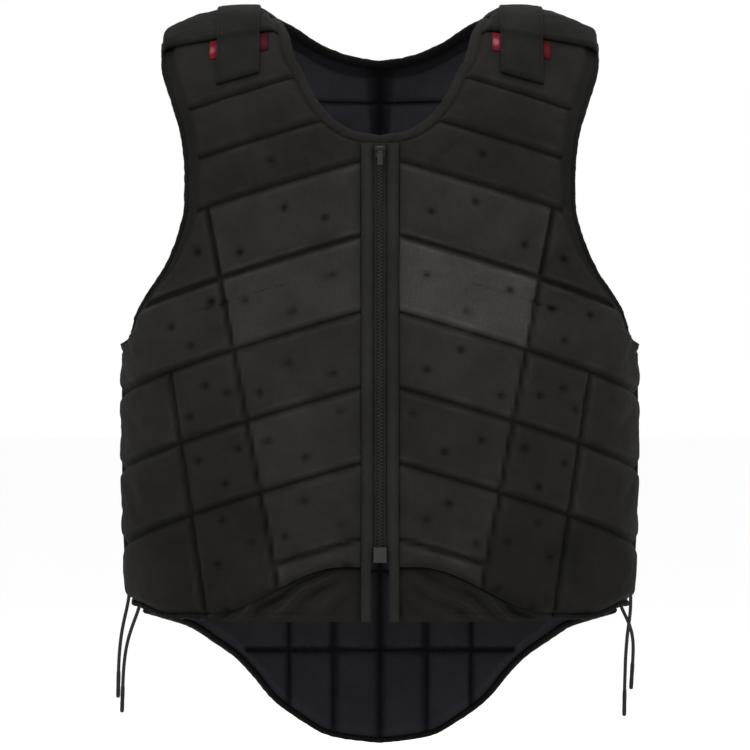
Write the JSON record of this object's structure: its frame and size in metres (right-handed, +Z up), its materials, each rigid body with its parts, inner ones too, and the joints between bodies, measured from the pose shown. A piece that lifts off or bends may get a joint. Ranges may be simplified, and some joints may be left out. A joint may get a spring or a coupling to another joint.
{
  "type": "equestrian body protector",
  "caption": "Padded riding vest worn round the torso: foam blocks, front zip, shoulder tabs, laced sides and a long back tail.",
  "frame": {"origin": "middle of the line between the undersides of the two shoulders, where the vest rests when worn", "axes": "+Z up, +Y towards the back, +X to the right seen from the front"},
  "size_m": [0.4505, 0.2584, 0.6408],
  "materials": {
    "front_fabric": "charcoal woven cloth over foam",
    "back_fabric": "black mesh lining and cloth over foam",
    "yoke_fabric": "charcoal woven cloth",
    "binding": "black elastic edge tape",
    "zip_tape": "black zip tape and moulded teeth",
    "zip_metal": "dark grey zip hardware",
    "marker_red": "red hook tape",
    "lace": "black round braided lace",
    "lace_tip": "black lace tip"
  },
  "bodies": {
    "vest": {"front_panel_left": "front_fabric", "front_panel_right": "front_fabric", "front_skirt_left": "front_fabric", "front_skirt_right": "front_fabric", "zip_placket_left": "zip_tape", "zip_placket_right": "zip_tape", "armhole_binding_front_left": "binding", "armhole_binding_front_right": "binding", "armhole_binding_back_left": "binding", "armhole_binding_back_right": "binding", "neck_binding_front_left": "front_fabric", "neck_binding_front_right": "front_fabric", "corner_binding_left": "binding", "corner_binding_right": "binding", "shoulder_yoke_left": "yoke_fabric", "shoulder_yoke_right": "yoke_fabric", "shoulder_tab_left": "yoke_fabric", "shoulder_tab_right": "yoke_fabric", "shoulder_marker_left": "marker_red", "shoulder_marker_right": "marker_red", "side_gusset_left": "binding", "side_gusset_right": "binding", "lace_tape_front_left": "binding", "lace_tape_front_right": "binding", "lace_tape_back_left": "binding", "lace_tape_back_right": "binding", "side_lace_left": "lace", "side_lace_right": "lace", "back_panel": "back_fabric", "neck_binding_back": "binding", "tail_binding": "binding", "zip_chain": "zip_tape", "zip_box": "zip_metal", "zip_slider": "zip_metal", "lace_end_left_front": "lace", "lace_tip_left_front": "lace_tip", "lace_end_left_back": "lace", "lace_tip_left_back": "lace_tip", "lace_end_right_front": "lace", "lace_tip_right_front": "lace_tip", "lace_end_right_back": "lace", "lace_tip_right_back": "lace_tip"},
    "zip_pull": {"zip_pull": "zip_metal"}
  },
  "joints": [
    {"name": "pull_hinge", "type": "hinge", "parent": "vest", "child": "zip_pull", "pos_m": [0, -0.12634, -0.10602], "axis": [-1, 0, 0], "range_deg": [0, 150]}
  ]
}
